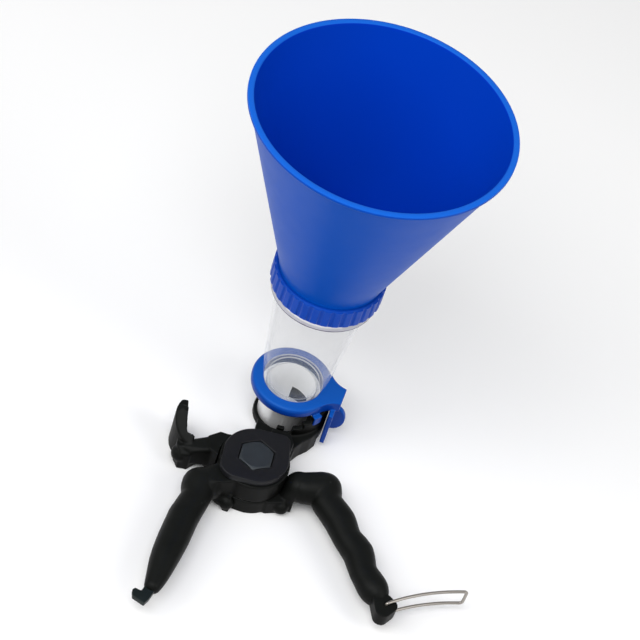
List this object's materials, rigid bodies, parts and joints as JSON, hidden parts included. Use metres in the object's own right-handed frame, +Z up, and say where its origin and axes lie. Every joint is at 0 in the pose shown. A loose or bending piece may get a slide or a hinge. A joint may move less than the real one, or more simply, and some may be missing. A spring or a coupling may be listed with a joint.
{
  "type": "dropping funnel",
  "caption": "Hand-held dropping funnel: wide hopper on a clear feed tube, clipped to a ring jaw of spring-open plier levers with a locking bail.",
  "frame": {"origin": "on the feed axis, at the foot of the outlet sleeve, where the tool rests on a table", "axes": "+Z up along the feed axis towards the hopper's mouth; -Y towards the ends of the handles; +X towards the clip's lug"},
  "size_m": [0.1992, 0.2356, 0.246],
  "materials": {
    "hopper_blue": "smooth injection-moulded blue with a soft sheen",
    "collar_blue": "ribbed moulded blue",
    "gasket_rubber": "soft black rubber",
    "clear_plastic": "clear polished plastic",
    "clip_blue": "bright glossy blue",
    "sleeve_steel": "rolled and polished sheet steel",
    "black_nylon": "fine satin black nylon",
    "grip_black": "soft satin black overmould",
    "plate_grey": "satin dark grey",
    "tang_steel": "blackened steel strip",
    "bolt_steel": "dark zinc-plated steel",
    "washer_steel": "plain steel",
    "bushing_bronze": "sintered bronze",
    "spring_steel": "oiled spring steel",
    "wire_steel": "bright stainless wire"
  },
  "bodies": {
    "ring_side": {"ring_lever": "black_nylon", "smooth_grip": "grip_black", "hook_tang": "tang_steel", "smooth_grip_rivets": "washer_steel", "hub_plate": "plate_grey", "pivot_bolt": "bolt_steel", "top_washer": "washer_steel", "pivot_bushing": "bushing_bronze", "friction_ring": "washer_steel", "return_spring": "spring_steel", "bottom_washer": "washer_steel", "pivot_nut": "bolt_steel", "steel_sleeve": "sleeve_steel"},
    "cradle_side": {"cradle_lever": "black_nylon", "groove_grip": "grip_black", "groove_tang": "washer_steel", "groove_grip_rivets": "washer_steel", "bail_block": "black_nylon"},
    "bail": {"wire_bail": "wire_steel"},
    "clip": {"tube_clip": "clip_blue"},
    "tube": {"feed_tube": "clear_plastic", "tube_seat_ring": "clear_plastic"},
    "gasket": {"collar_gasket": "gasket_rubber"},
    "hopper": {"hopper_cone": "hopper_blue", "collar_nut": "collar_blue"}
  },
  "joints": [
    {"name": "lever_pivot", "type": "hinge", "parent": "ring_side", "child": "cradle_side", "pos_m": [-0.005, -0.0565, 0.014], "axis": [0, 0, 1], "range_deg": [-50, 0], "stiffness_Nm_per_rad": 0.2, "springref_deg": 22.92},
    {"name": "bail_swing", "type": "hinge", "parent": "cradle_side", "child": "bail", "pos_m": [0.0876, -0.1167, 0.014], "axis": [0, 0, 1], "range_deg": [-160, 20]},
    {"name": "clip_slide", "type": "slide", "parent": "ring_side", "child": "clip", "axis": [0, 0, 1], "range_m": [0, 0.03]},
    {"name": "tube_lift", "type": "slide", "parent": "clip", "child": "tube", "axis": [0, 0, 1], "range_m": [0, 0.06]},
    {"name": "hopper_rise", "type": "slide", "parent": "tube", "child": "gasket", "axis": [0, 0, 1], "range_m": [0, 0.0076]},
    {"name": "hopper_turn", "type": "hinge", "parent": "gasket", "child": "hopper", "pos_m": [0, 0, 0.127], "axis": [0, 0, 1], "range_deg": [0, 900]}
  ],
  "couplings": [
    {"joint": "hopper_rise", "follows": "hopper_turn", "m_per_rad": 0.00047746}
  ]
}
